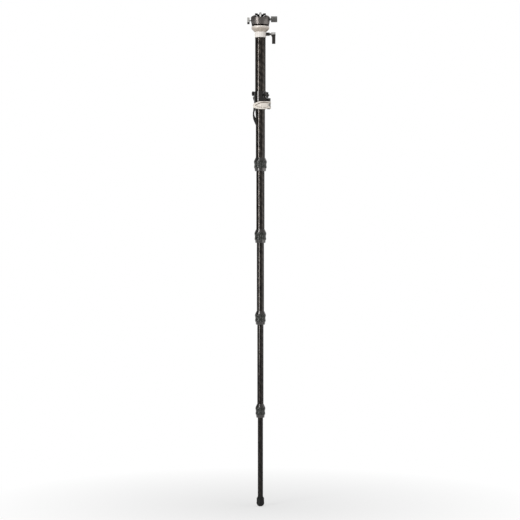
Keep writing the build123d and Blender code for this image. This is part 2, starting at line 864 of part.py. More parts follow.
def make_ball(base, centre):
    """Liner, hollow half ball, the cap inside it, and the rod and block that draw the cap down."""
    with BuildPart() as liner:
        revolve(shell_section(ball_r + running, ball_r + running + liner_thick,
                              -liner_low, -liner_top, centre), axis=Axis.Z)
    save(liner, "bowl_liner")

    with BuildPart() as ball:
        revolve(shell_section(ball_cavity_r, ball_r, -ball_cut, 0, centre), axis=Axis.Z)
    save(ball, "half_ball")

    cap_sphere = ball_cavity_r - running
    with BuildPart() as cap:
        with BuildSketch(Plane.XZ):
            with BuildLine():
                rim = (sqrt(cap_sphere**2 - cap_top**2), centre - cap_top)
                foot = (sqrt(cap_sphere**2 - cap_low**2), centre - cap_low)
                mid = (cap_top + cap_low) / 2
                ThreePointArc(rim, (sqrt(cap_sphere**2 - mid**2), centre - mid), foot)
                Polyline(foot, (rod_r + sliding, centre - cap_low),
                         (rod_r + sliding, centre - cap_top), rim)
            make_face()
        revolve(axis=Axis.Z)
    save(cap, "ball_clamp_cap")

    block_top = base - block_gap
    with BuildPart() as rod:
        with BuildSketch(Plane.XY.offset(block_top - block_height)):
            Circle(rod_r)
        extrude(amount=centre - cap_top - block_top + block_height)
        with BuildSketch(Plane.XY.offset(centre - cap_top + seat)):
            RegularPolygon(rod_head_r, 6)
        extrude(amount=rod_head)
    save(rod, "ball_pull_rod")

    with BuildPart() as block:
        with BuildSketch(Plane.XY.offset(block_top - block_height)):
            ring(neck_bore_r - sliding, rod_r + seat)
        extrude(amount=block_height)
        with BuildSketch(Plane.YZ.offset(spindle_tip_reach - apart)):
            with Locations((0, base - neck_height + spindle_z)):
                Circle(spindle_tip_r + spindle_throw + apart)
        extrude(amount=cut, mode=Mode.SUBTRACT)
    save(block, "ball_pull_block")


def make_neck_lever(base):
    """Spindle with an eccentric tip in the pull block, and the lever that turns it."""
    axis_z = base + spindle_z
    with BuildPart() as spindle:
        with BuildSketch(Plane.YZ.offset(spindle_tip_reach)):
            with Locations((spindle_throw, axis_z)):
                Circle(spindle_tip_r)
        extrude(amount=spindle_shoulder + tube_wall * 2 - spindle_tip_reach)
        for start, end, radius in (
            (neck_bore_r + apart, neck_r + apart, spindle_r),
            (neck_r + apart, stem_reach, stem_r),
            (stem_reach, hub_start + hub_r, link_r),
        ):
            with BuildSketch(Plane.YZ.offset(start)):
                with Locations((0, axis_z)):
                    Circle(radius)
            extrude(amount=end - start)
    save(spindle, "neck_lever_spindle")

    with BuildPart() as hub:
        with BuildSketch(Plane.YZ.offset(hub_start)):
            with Locations((0, axis_z)):
                Circle(hub_r)
        extrude(amount=hub_end - hub_start)
        fillet(hub.edges().filter_by(GeomType.CIRCLE), edge_round)
        with BuildSketch(Plane.YZ.offset(hub_start)):
            with Locations((0, axis_z)):
                Circle(link_r + seat)
        extrude(amount=hub_r + seat, mode=Mode.SUBTRACT)
    save(hub, "neck_lever_hub")

    with BuildPart() as blade:
        with BuildSketch(Plane.YZ.offset(hub_start + apart)):
            with BuildLine():
                half = blade_wide / 2
                low = axis_z - blade_length
                Line((-hub_r, axis_z), (-half, low + half))
                ThreePointArc((-half, low + half), (0, low), (half, low + half))
                Line((half, low + half), (hub_r, axis_z))
                ThreePointArc((hub_r, axis_z), (0, axis_z + hub_r), (-hub_r, axis_z))
            make_face()
        extrude(amount=hub_end - hub_start - 2 * apart)
        with BuildSketch(Plane.XZ):
            Polygon((hub_start + apart, axis_z + hub_r), (hub_end - apart, axis_z + hub_r),
                    (blade_end, low), (blade_start, low), (blade_start, axis_z - blade_flare),
                    (hub_start + apart, axis_z - blade_cheek), align=None)
        extrude(amount=cut, both=True, mode=Mode.INTERSECT)
        fillet(blade.edges().filter_by(GeomType.LINE).filter_by(Axis.X, reverse=True), edge_round)
        with BuildSketch(Plane.YZ.offset(hub_start)):
            with Locations((0, axis_z)):
                Circle(hub_r + seat)
        extrude(amount=cut, mode=Mode.SUBTRACT)
    save(blade, "neck_lever_blade")


def make_pan_base(low):
    """Lower ring that carries the scale; its post is the pan axis."""
    with BuildPart() as pan:
        revolve(half_section(
            (0, low), (pan_base_low_r, low), (pan_base_high_r, low + pan_base_height),
            (post_r, low + pan_base_height), (post_r, low + post_high),
            (post_neck_r, low + post_high), (post_neck_r, low + post_neck_high),
            (0, low + post_neck_high),
        ), axis=Axis.Z)
        with BuildSketch(Plane.XY.offset(low + post_neck_high)):
            Circle(pan_screw_r + seat)
        extrude(amount=-pan_base_height, mode=Mode.SUBTRACT)
    save(pan, "pan_base")

    with BuildPart() as screw:
        neck_top = low + post_neck_high
        tail = neck_top - pan_base_height + apart
        head_top = neck_top + pan_flange + pan_head
        revolve(half_section(
            (0, tail), (pan_screw_r, tail), (pan_screw_r, neck_top + seat),
            (pan_flange_r, neck_top + seat), (pan_flange_r, neck_top + pan_flange),
            (pan_head_r, neck_top + pan_flange), (pan_head_r, head_top), (0, head_top),
        ), axis=Axis.Z)
        with BuildSketch(Plane.XY.offset(head_top)):
            RegularPolygon(socket_r, 6)
        extrude(amount=-pan_head, mode=Mode.SUBTRACT)
    save(screw, "pan_screw")


def round_clamp(low):
    """Half section of the clamp's full round form, before the groove parts body and jaw."""
    top = low + clamp_height
    return half_section((0, low), (pan_base_high_r, low), (clamp_r, low + clamp_belly_low),
                        (clamp_r, low + clamp_belly_high), (shoulder_r, top - shoulder_drop),
                        (clamp_top_r, top), (0, top))


def flank(side, top):
    """Points of one dovetail flank of the groove, from its floor up past the clamp's top."""
    floor_z = top - groove_depth
    return [
        (side * (dovetail_half + apart), floor_z),
        (side * (dovetail_half + apart), floor_z + lip_height + apart),
        (side * (plate_half + apart), floor_z + lip_height + dovetail_rise + apart),
        (side * (plate_half + apart), top + cut),
    ]


def make_clamp(low, pan_low):
    """Round clamp body with the fixed jaw, and the moving jaw that closes on the plate."""
    top = low + clamp_height
    floor_z = top - groove_depth
    step_z = low + jaw_step
    screw_z = low + clamp_screw_z
    with BuildPart() as body:
        revolve(round_clamp(low), axis=Axis.Z)
        with BuildSketch(Plane.XZ.offset(-cut)):
            with BuildLine():
                Polyline(*flank(-1, top), (cut, top + cut), (cut, step_z), (jaw_face, step_z),
                         (jaw_face, floor_z), close=True)
            make_face()
        extrude(amount=2 * cut, mode=Mode.SUBTRACT)
        for radius, end in ((post_r + running, pan_low + post_high + apart),
                            (post_neck_r + running, pan_low + post_neck_high)):
            with BuildSketch(Plane.XY.offset(low)):
                Circle(radius)
            extrude(amount=end - low, mode=Mode.SUBTRACT)
        with BuildSketch(Plane.XY.offset(pan_low + post_neck_high - apart)):
            Circle(pan_flange_r + apart)
        extrude(amount=cut, mode=Mode.SUBTRACT)
        with BuildSketch(Plane.YZ.offset(clamp_screw_tip)):
            with Locations((0, screw_z)):
                Circle(clamp_screw_r + running)
        extrude(amount=cut, mode=Mode.SUBTRACT)
        with BuildSketch(Plane.YZ.offset(guide_start)):
            with Locations((guide_y, screw_z), (-guide_y, screw_z)):
                Circle(guide_r + seat)
        extrude(amount=cut, mode=Mode.SUBTRACT)
        with BuildSketch(Plane.YZ):
            with Locations((0, low + pan_lock_z)):
                Circle(pan_lock_r + running)
        extrude(amount=-cut, mode=Mode.SUBTRACT)
    save(body, "clamp_body")

    with BuildPart() as jaw:
        revolve(round_clamp(low), axis=Axis.Z)
        with BuildSketch(Plane.XZ.offset(-cut)):
            with BuildLine():
                Polyline((jaw_face + sliding, step_z + sliding), (jaw_face + sliding, floor_z),
                         *flank(1, top), (cut, top + cut), (cut, step_z + sliding), close=True)
            make_face()
        extrude(amount=2 * cut, mode=Mode.INTERSECT)
        with BuildSketch(Plane.YZ):
            with Locations((0, screw_z)):
                Circle(clamp_screw_r + running)
        extrude(amount=cut, mode=Mode.SUBTRACT)
        with BuildSketch(Plane.YZ):
            with Locations((guide_y, screw_z), (-guide_y, screw_z)):
                Circle(guide_r + running)
        extrude(amount=guide_end + apart, mode=Mode.SUBTRACT)
    save(jaw, "moving_jaw")

    with BuildPart() as guides:
        with BuildSketch(Plane.YZ.offset(guide_start)):
            with Locations((guide_y, screw_z), (-guide_y, screw_z)):
                Circle(guide_r)
        extrude(amount=guide_end - guide_start)
    save(guides, "jaw_guides")

    with BuildPart() as screw:
        for start, end, radius in (
            (clamp_screw_tip, clamp_r + apart, clamp_screw_r),
            (clamp_r + apart, knob_start, collar_stub_r),
            (knob_start, knob_start + knob_bore_depth, clamp_screw_r),
        ):
            with BuildSketch(Plane.YZ.offset(start)):
                with Locations((0, screw_z)):
                    Circle(radius)
            extrude(amount=end - start)
    save(screw, "clamp_screw")

    with BuildPart() as knob:
        with BuildSketch(Plane.YZ.offset(knob_start)):
            with Locations((0, screw_z)):
                Circle(knob_r)
        extrude(amount=knob_end - knob_start)
        chamfer(knob.edges().filter_by(GeomType.CIRCLE), edge_round)
        with BuildSketch(Plane.YZ.offset(knob_start)):
            with Locations((0, screw_z)):
                with PolarLocations(knob_r + knob_flute_r - edge_round, knob_flutes):
                    Circle(knob_flute_r)
        extrude(amount=knob_end - knob_start, mode=Mode.SUBTRACT)
        with BuildSketch(Plane.YZ.offset(knob_start)):
            with Locations((0, screw_z)):
                Circle(clamp_screw_r + seat)
        extrude(amount=knob_bore_depth + seat, mode=Mode.SUBTRACT)
    save(knob, "clamp_knob")


def make_pan_lever(low):
    """Screw that bears on the pan post, and the small bar that turns it."""
    axis_z = low + pan_lock_z
    with BuildPart() as spindle:
        with BuildSketch(Plane.YZ.offset(-post_r - 2 * sliding)):
            with Locations((0, axis_z)):
                Circle(pan_lock_r)
        extrude(amount=-(pan_lever_start + pan_lever_thick / 2 - post_r - 2 * sliding))
    save(spindle, "pan_lock_spindle")

    with BuildPart() as bar:
        with BuildSketch(Plane.YZ.offset(-pan_lever_start)):
            with Locations((0, axis_z + (pan_lever_high - pan_lever_low) / 2)):
                SlotOverall(pan_lever_high + pan_lever_low, pan_lever_wide, rotation=90)
        extrude(amount=-pan_lever_thick)
        fillet(bar.edges(), edge_round)
        with BuildSketch(Plane.YZ.offset(-pan_lever_start)):
            with Locations((0, axis_z)):
                Circle(pan_lock_r + seat)
        extrude(amount=-pan_lever_thick / 2 - seat, mode=Mode.SUBTRACT)
        split(bisect_by=Plane.XY.offset(axis_z - pan_lever_low + pan_grip), keep=Keep.TOP)
    save(bar, "pan_lever")

    with BuildPart() as tip:
        with BuildSketch(Plane.YZ.offset(-pan_lever_start)):
            with Locations((0, axis_z + (pan_lever_high - pan_lever_low) / 2)):
                SlotOverall(pan_lever_high + pan_lever_low, pan_lever_wide, rotation=90)
        extrude(amount=-pan_lever_thick)
        fillet(tip.edges(), edge_round)
        split(bisect_by=Plane.XY.offset(axis_z - pan_lever_low + pan_grip - seat),
              keep=Keep.BOTTOM)
    save(tip, "pan_lever_tip")


def make_plate(floor_z):
    """Camera plate with a dovetail foot, open slot, two rubber pads and its captive screw."""
    low = floor_z + apart
    deck = low + plate_deck
    back = camera_screw_y + screw_travel_back
    with BuildPart() as plate:
        with BuildSketch(Plane.XZ.offset(-plate_length / 2)):
            with BuildLine():
                Polyline(
                    (0, low), (dovetail_half, low), (dovetail_half, low + lip_height),
                    (plate_half, low + lip_height + dovetail_rise), (plate_half, deck), (0, deck),
                )
                mirror(about=Plane.YZ)
            make_face()
        extrude(amount=plate_length)
        with BuildSketch(Plane.XY.offset(low)):
            RectangleRounded(2 * dovetail_half, plate_length, lip_height)
        extrude(amount=plate_deck, mode=Mode.INTERSECT)
        with BuildSketch(Plane.XY.offset(low)):
            with Locations((0, (back - plate_length / 2) / 2)):
                Rectangle(2 * (camera_screw_r + running), back + plate_length / 2)
            with Locations((0, back)):
                Circle(camera_screw_r + running)
        extrude(amount=plate_deck, mode=Mode.SUBTRACT)
        with BuildSketch(Plane.XY.offset(low)):
            with Locations((0, camera_screw_y + (screw_travel_back - screw_travel_front) / 2)):
                SlotCenterToCenter(screw_travel_back + screw_travel_front,
                                   2 * (camera_head_r + apart), rotation=90)
        extrude(amount=camera_head + 2 * apart, mode=Mode.SUBTRACT)
        with BuildSketch(Plane.XZ.offset(plate_length / 2)):
            with BuildLine():
                Polyline((-notch_foot_half, low + notch_rise), (-notch_half, deck),
                         (notch_half, deck), (notch_foot_half, low + notch_rise), close=True)
            make_face()
        extrude(amount=-notch_depth, mode=Mode.SUBTRACT)
    save(plate, "camera_plate")

    with BuildPart() as pads:
        with BuildSketch(Plane.XY.offset(deck)):
            middle = (pad_inner + plate_half - pad_inset) / 2
            with Locations((middle, 0), (-middle, 0)):
                RectangleRounded(plate_half - pad_inset - pad_inner,
                                 plate_length - 2 * lip_height, edge_round)
        extrude(amount=pad_height)
    save(pads, "plate_pads")

    with BuildPart() as screw:
        for start, end, radius in (
            (low + apart, low + apart + camera_head, camera_head_r),
            (low + apart + camera_head, deck + apart, camera_screw_r - apart),
            (deck + apart, deck + camera_screw_high, camera_screw_r),
        ):
            with BuildSketch(Plane.XY.offset(start)):
                with Locations((0, camera_screw_y)):
                    Circle(radius)
            extrude(amount=end - start)
        chamfer(screw.edges().sort_by(Axis.Z)[-1], apart)
        with BuildSketch(Plane.XY.offset(low + apart)):
            with Locations((0, camera_screw_y)):
                Rectangle(2 * cut, coin_slot)
        extrude(amount=coin_depth, mode=Mode.SUBTRACT)
    save(screw, "camera_screw")


for place in range(sections):
    make_tube(place)
for place in range(1, sections):
    make_shims(place)
for place in range(1, sections - 1):
    for make in (make_ferrule, make_collet, make_collar, make_sleeve):
        make(place, lock_z[place])
make_end_plug()
make_foot()

make_liner(lock_z[0])
make_casting(lock_z[0])
make_lever(lock_z[0])
make_lever_hardware(lock_z[0])
make_strap(lock_z[0])

bowl_z = neck_z + neck_height
ball_z = bowl_z + bowl_depth + ball_above_rim
clamp_z = ball_z + pan_base_height + apart
make_neck(neck_z)
make_bowl(bowl_z, ball_z)
make_ball(bowl_z, ball_z)
make_neck_lever(neck_z)
make_pan_base(ball_z)
make_clamp(clamp_z, ball_z)
make_pan_lever(clamp_z)
make_plate(clamp_z + clamp_height - groove_depth)
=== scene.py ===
import json
from math import atan2, cos, pi, radians, sin, sqrt

import bpy
import bmesh
from mathutils import Matrix, Vector


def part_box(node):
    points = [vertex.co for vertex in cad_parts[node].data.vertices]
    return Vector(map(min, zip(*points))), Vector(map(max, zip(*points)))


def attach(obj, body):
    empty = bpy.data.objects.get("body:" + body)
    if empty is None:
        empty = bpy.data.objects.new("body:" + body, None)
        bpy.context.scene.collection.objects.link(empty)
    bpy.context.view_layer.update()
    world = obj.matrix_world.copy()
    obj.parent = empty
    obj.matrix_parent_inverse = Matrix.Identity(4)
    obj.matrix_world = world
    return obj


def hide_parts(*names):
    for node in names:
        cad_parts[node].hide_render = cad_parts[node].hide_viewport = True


# Lengths are in metres and angles in degrees; the strap's route is in millimetres, as in the source
MM = 0.001

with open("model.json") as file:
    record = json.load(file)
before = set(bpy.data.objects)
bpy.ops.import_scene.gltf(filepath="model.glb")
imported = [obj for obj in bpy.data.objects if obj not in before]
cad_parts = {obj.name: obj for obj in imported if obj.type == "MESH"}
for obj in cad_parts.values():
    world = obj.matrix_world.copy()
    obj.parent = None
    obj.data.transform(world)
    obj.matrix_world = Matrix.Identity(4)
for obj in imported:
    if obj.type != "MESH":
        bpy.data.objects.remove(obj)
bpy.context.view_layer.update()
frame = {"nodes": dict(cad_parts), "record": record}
nodes = frame["nodes"]

# Places in the frame that drawn marks and small pieces follow
plate_low, plate_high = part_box("camera_plate")
screw_low, screw_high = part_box("camera_screw")
pads_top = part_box("plate_pads")[1].z
pan_base_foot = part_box("pan_base")[0].z
bowl_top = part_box("head_bowl")[1].z
lever_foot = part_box("flip_lever")[0].z
flip_lock_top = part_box("flip_lock_collar")[1].z

# Notch in the plate's front end, as the photograph shows it: half of its width at the plate's foot
# and at the height where its bevels end
notch_half = 0.0079
notch_flare_half = 0.0131
notch_flare_height = 0.0059
notch_foot_gap = 0.0004         # plain metal below the notch's painted shadow
notch_deck_gap = 0.00005
notch_length = 0.009            # how far the painted shadow goes in from the front


# Camera at the photograph's angle: half way up the column, looking level
camera_distance = 4.8
camera_aside = -0.0012
camera_height = 0.7459
picture_height = 1.5761         # what the picture shows at the column's distance
far_limit = 60

lens_data = bpy.data.cameras.new("camera")
lens_data.angle = 2 * atan2(picture_height / 2, camera_distance)
lens_data.clip_end = far_limit
camera = bpy.data.objects.new("camera", lens_data)
bpy.context.scene.collection.objects.link(camera)
camera.location = (camera_aside, -camera_distance, camera_height)
camera.rotation_euler = (radians(90), 0, 0)
bpy.context.scene.camera = camera
bpy.context.scene.view_settings.view_transform = "Standard"


# Helpers for materials
def new_material(name, **sockets):
    """A material with a Principled shader; constants go straight on its sockets."""
    made = bpy.data.materials.new(name)
    made.use_nodes = True
    shader = made.node_tree.nodes["Principled BSDF"]
    for key, value in sockets.items():
        shader.inputs[key.replace("_", " ")].default_value = value
    return made, made.node_tree, shader


def put(tree, kind, values=None, **settings):
    """A node with its settings; values are constants or sockets, by input name or number."""
    made = tree.nodes.new("ShaderNode" + kind)
    for key, value in settings.items():
        setattr(made, key, value)
    for key, value in (values or {}).items():
        if isinstance(value, bpy.types.NodeSocket):
            tree.links.new(value, made.inputs[key])
        else:
            made.inputs[key].default_value = value
    return made


def calc(tree, operation, a, b=0.0, c=0.0):
    return put(tree, "Math", {0: a, 1: b, 2: c}, operation=operation).outputs[0]


def remap(tree, value, low, high, to_low, to_high):
    made = put(tree, "MapRange", {0: value, 1: low, 2: high, 3: to_low, 4: to_high})
    return made.outputs[0]


def choose(tree, share, a, b):
    """The number a where share is 0 and b where it is 1."""
    return put(tree, "Mix", {0: share, 2: a, 3: b}, data_type="FLOAT").outputs[0]


def blend_colours(tree, share, a, b):
    return put(tree, "Mix", {0: share, 6: a, 7: b}, data_type="RGBA").outputs[2]


def object_place(tree):
    return put(tree, "TexCoord").outputs["Object"]


def split_axes(tree, place):
    return put(tree, "SeparateXYZ", {0: place}).outputs


def noise_at(tree, place, scale, detail=3.0, rough=0.5):
    return put(tree, "TexNoise", {"Vector": place, "Scale": scale, "Detail": detail,
                                  "Roughness": rough}).outputs["Fac"]


def bump_of(tree, height, strength, depth):
    return put(tree, "Bump", {"Height": height, "Strength": strength,
                              "Distance": depth}).outputs[0]


def rgb(value):
    """A colour from its display values, 0 to 255."""
    return tuple((channel / 255) ** 2.2 for channel in value) + (1.0,)


def scaled(colour, share):
    """A shader colour made darker or lighter."""
    return tuple(min(1.0, channel * share) for channel in colour[:3]) + (1.0,)


# Scales of noise are in cells for a metre
mottle_scale = 55.0
wear_scale = 220.0
wobble_scale = 300.0
wear_reach = 0.0006             # how far from an edge its wear goes
crevice_shade_reach = 0.0022          # how wide a gap gets painted shade
rough_spread = 0.06             # of roughness over a surface
tool_spread = 0.03              # of roughness over tool marks
wear_polish = 0.12              # what wear takes off roughness


# Masks: 1 where a mark or some wear is
def worn_edges(tree, place):
    """Convex and concave edges, broken up by noise."""
    soft = put(tree, "Bevel", {"Radius": wear_reach}, samples=4)
    flat = put(tree, "NewGeometry")
    lean = put(tree, "VectorMath", {0: soft.outputs[0], 1: flat.outputs["Normal"]},
               operation="DOT_PRODUCT").outputs["Value"]
    # the cosine of a rounded edge's lean is 1 on flat faces
    edge = remap(tree, lean, 0.985, 0.86, 0.0, 1.0)
    patchy = remap(tree, noise_at(tree, place, wear_scale, 4.0, 0.6), 0.42, 0.66, 0.0, 1.0)
    return calc(tree, "MULTIPLY", edge, patchy)


def drawn_line(tree, place, start, end, curve, width):
    """The curve z = a + b x + c x x on the front face, from x = start to x = end."""
    x, y, z = split_axes(tree, place)
    a, b, c = curve
    level = calc(tree, "MULTIPLY_ADD", x, calc(tree, "MULTIPLY_ADD", x, c, b), a)
    away = calc(tree, "ABSOLUTE", calc(tree, "SUBTRACT", z, level))
    near = remap(tree, away, width * 0.4, width, 1.0, 0.0)
    between = calc(tree, "MULTIPLY", calc(tree, "GREATER_THAN", x, start),
                   calc(tree, "LESS_THAN", x, end))
    near = calc(tree, "MULTIPLY", near, calc(tree, "LESS_THAN", y, 0.0))
    return calc(tree, "MULTIPLY", near, between)


def lever_lines(tree, place):
    """Painted shade: the dark line round the leaf's recess in the lever's face, and at the seam
    before its barrel.
    """
    tip = -0.0155                   # of the leaf, in x
    # strength, ends in x, curve and width of each painted shade line
    lines = [
        (1.0, tip, 0.0285, (lever_foot + 0.0184, 0.291, -10.4), 0.0015),    # leaf's upper side
        (0.6, tip, 0.0235, (lever_foot + 0.0047, -0.203, 13.17), 0.0012),   # leaf's lower side
        (0.75, 0.0272, 0.0300, (lever_foot + 0.0130, 0.0, 0.0), 0.0115),    # seam
    ]
    mask = 0.0
    for strength, *line in lines:
        drawn = calc(tree, "MULTIPLY", drawn_line(tree, place, *line), strength)
        mask = calc(tree, "MAXIMUM", drawn, mask)
    return mask


def inside_notch(tree, place):
    """Painted shadow in and round the notch in the plate's front end."""
    x, y, z = split_axes(tree, place)
    slope = (notch_flare_half - notch_half) / notch_flare_height
    reach = calc(tree, "MULTIPLY_ADD", z, slope, notch_half - slope * plate_low.z)
    mask = calc(tree, "LESS_THAN", calc(tree, "ABSOLUTE", x), reach)
    for value, test, limit in ((z, "GREATER_THAN", plate_low.z + notch_foot_gap),
                               (z, "LESS_THAN", plate_high.z - notch_deck_gap),
                               (y, "LESS_THAN", plate_low.y + notch_length)):
        mask = calc(tree, "MULTIPLY", mask, calc(tree, test, value, limit))
    return mask


def tool_marks(tree, place, pitch):
    """Waves, from -1 to 1, of a turning tool round the column and over flat ends."""
    x, y, z = split_axes(tree, place)
    around = calc(tree, "ADD", calc(tree, "MULTIPLY", x, x), calc(tree, "MULTIPLY", y, y))
    travel = calc(tree, "ADD", calc(tree, "SQRT", around), z)
    return calc(tree, "SINE", calc(tree, "MULTIPLY", travel, 2 * pi / pitch))


# Materials
def finish(name, colour, rough, metallic=0.0, grain=900.0, bump=0.00002, spread=0.18, wear=None,
           turned=0.0, crevice=0.55, rim=None, marks=None, **sockets):
    """Moulded, cast or turned surface: mottled colour, grain or tool marks, worn edges and
    painted shade in crevices. turned is the pitch of its tool marks, wear the colour of its edges,
    and rim a level, a height and the colour of a painted highlight that the surface turns to over
    that height below the level. The last named argument is a mask and the colour of painted shade."""
    made, tree, shader = new_material(name, Metallic=metallic, **sockets)
    place = object_place(tree)
    mottle = noise_at(tree, place, mottle_scale, 5.0, 0.6)
    fine = noise_at(tree, place, grain, 2.0)
    base = rgb(colour)
    light = scaled(base, 1 + spread)
    tint = blend_colours(tree, mottle, scaled(base, 1 - spread), light)
    tint = blend_colours(tree, calc(tree, "MULTIPLY", fine, 0.35), tint, light)
    level = remap(tree, mottle, 0.3, 0.7, rough - rough_spread, rough + rough_spread)
    height = fine
    if turned:
        tooling = tool_marks(tree, place, turned)
        wobble = noise_at(tree, place, wobble_scale, 2.0)
        height = calc(tree, "ADD", calc(tree, "MULTIPLY", tooling, wobble), height)
        level = calc(tree, "ADD", level, calc(tree, "MULTIPLY", tooling, tool_spread))
    if wear:
        edge = worn_edges(tree, place)
        tint = blend_colours(tree, edge, tint, rgb(wear))
        level = calc(tree, "SUBTRACT", level, calc(tree, "MULTIPLY", edge, wear_polish))
    # Painted highlight: the colour turns lighter over a band below the given level
    if rim:
        rim_highlight_level, rim_highlight_height, rim_highlight_colour = rim
        near = remap(tree, split_axes(tree, place)[2], rim_highlight_level - rim_highlight_height, rim_highlight_level, 0.0, 1.0)
        tint = blend_colours(tree, near, tint, rgb(rim_highlight_colour))
    # Painted shade in crevices: where the AO node finds the surface enclosed, the colour darkens
    # towards a quarter of itself
    open_share = put(tree, "AmbientOcclusion", {"Distance": crevice_shade_reach}, samples=4).outputs["AO"]
    painted_crevice_shade = remap(tree, open_share, 0.3, 0.8, crevice, 0.0)
    tint = blend_colours(tree, painted_crevice_shade, tint, scaled(base, 0.25))
    # Painted shade from a mask: the lines on the lever and the shadow in the plate's notch
    if marks:
        mask, shade_colour = marks
        tint = blend_colours(tree, mask(tree, place), tint, rgb(shade_colour))
    tree.links.new(tint, shader.inputs["Base Color"])
    tree.links.new(level, shader.inputs["Roughness"])
    tree.links.new(bump_of(tree, height, 0.6, bump), shader.inputs["Normal"])
    return made


def carbon(radius):
    """Lacquered twill cloth wrapped on a tube; its diagonals run along the column."""
    tow = 0.0021                    # width of one bundle of fibres
    wrap_pitch = 0.0185             # of the film that pressed the cloth on, seen in the lacquer
    thin, thick = 0.0078, 0.016     # painted light: the cloth is coloured lighter on the thick upper tubes than on the thin lower ones, as light that falls off down the column
    made, tree, shader = new_material(
        f"carbon_{radius / MM:.0f}", Metallic=0.8, Specular_IOR_Level=0.2,
        Specular_Tint=(0.05, 0.045, 0.04, 1.0), Coat_Weight=0.5, Coat_Roughness=0.09)
    x, y, z = split_axes(tree, object_place(tree))
    turn = calc(tree, "ARCTAN2", x, calc(tree, "MULTIPLY", y, -1))

    # which of the two sets of bundles lies on top, two over and two under, and how it bulges
    repeats = round(2 * pi * radius / (4 * tow * sqrt(2)))
    across = calc(tree, "MULTIPLY", turn, repeats * 4 / (2 * pi))
    along = calc(tree, "DIVIDE", z, tow * sqrt(2) / 2)
    warp = calc(tree, "ADD", calc(tree, "MULTIPLY", along, 0.5), across)
    weft = calc(tree, "SUBTRACT", calc(tree, "MULTIPLY", along, 0.5), across)
    step = calc(tree, "SUBTRACT", calc(tree, "FLOOR", warp), calc(tree, "FLOOR", weft))
    over = calc(tree, "LESS_THAN", calc(tree, "FLOORED_MODULO", step, 4.0), 1.5)
    rise = choose(tree, over, calc(tree, "PINGPONG", weft, 0.5), calc(tree, "PINGPONG", warp, 0.5))

    def streaks(round_scale, up_scale, detail):
        """Noise stretched along the column, with its cells for a metre round it and up it."""
        spot = put(tree, "CombineXYZ", {0: calc(tree, "MULTIPLY", turn, radius * round_scale),
                                        1: calc(tree, "MULTIPLY", z, up_scale)}).outputs[0]
        return noise_at(tree, spot, 1.0, detail)

    fibres = streaks(9000, 260.0, 3.0)
    blotch = remap(tree, streaks(170, 46.0, 2.0), 0.38, 0.6, 0.0, 1.0)
    wrap = calc(tree, "SINE", calc(tree, "ADD", calc(tree, "MULTIPLY", z, 2 * pi / wrap_pitch),
                                   calc(tree, "MULTIPLY", turn, 3.0)))

    shade = calc(tree, "MULTIPLY_ADD", wrap, 0.18, 0.55)
    shade = calc(tree, "MULTIPLY", shade, calc(tree, "MULTIPLY_ADD", blotch, 0.95, 0.35))
    # Painted light: colours scale with the tube's radius, so the lower, thinner tubes are darker
    light_falloff_share = 0.8 + 0.5 * (radius - thin) / (thick - thin)
    crossed, straight, bright = [rgb([channel * light_falloff_share for channel in value]) for value in
                                 ((48, 44, 41), (68, 63, 58), (84, 78, 72))]
    tint = blend_colours(tree, over, crossed, straight)
    tint = blend_colours(tree, calc(tree, "MULTIPLY", fibres, 0.5), tint, bright)
    tint = blend_colours(tree, shade, rgb((17, 14, 13)), tint)
    level = calc(tree, "MULTIPLY_ADD", over, 0.06, 0.2)
    level = calc(tree, "MULTIPLY_ADD", blotch, 0.06, level)
    height = calc(tree, "MULTIPLY_ADD", fibres, 0.25, rise)
    tree.links.new(tint, shader.inputs["Base Color"])
    tree.links.new(level, shader.inputs["Roughness"])
    tree.links.new(bump_of(tree, height, 0.3, 0.00012), shader.inputs["Normal"])
    tree.links.new(bump_of(tree, wrap, 0.12, 0.00012), shader.inputs["Coat Normal"])
    return made


def webbing():
    """Woven polyester: ribs across the strap's width and fine yarns along it, coloured darker where
    the weave is low as painted shade.
    """
    rib_pitch = 0.0011
    yarn_pitch = 0.0009
    made, tree, shader = new_material("webbing", Roughness=0.85, Sheen_Weight=0.25,
                                      Sheen_Roughness=0.5)
    along, across, _ = split_axes(tree, put(tree, "UVMap", uv_map="weave").outputs[0])
    rib = calc(tree, "PINGPONG", calc(tree, "DIVIDE", along, rib_pitch), 0.5)
    row = calc(tree, "FLOOR", calc(tree, "DIVIDE", along, rib_pitch / 2))
    yarn = calc(tree, "PINGPONG", calc(tree, "ADD", calc(tree, "DIVIDE", across, yarn_pitch),
                                       calc(tree, "MULTIPLY", row, 0.5)), 0.5)
    height = calc(tree, "MULTIPLY", calc(tree, "ADD", rib, 0.2), calc(tree, "ADD", yarn, 0.4))
    fuzz = noise_at(tree, object_place(tree), 700.0)
    # Painted shade: darker in the weave's hollows, lighter on its raised yarns
    tint = blend_colours(tree, height, rgb((9, 9, 9)), rgb((27, 26, 25)))
    tint = blend_colours(tree, calc(tree, "MULTIPLY", fuzz, 0.3), tint, rgb((40, 38, 36)))
    tree.links.new(tint, shader.inputs["Base Color"])
    tree.links.new(bump_of(tree, height, 0.9, 0.0003), shader.inputs["Normal"])
    return made


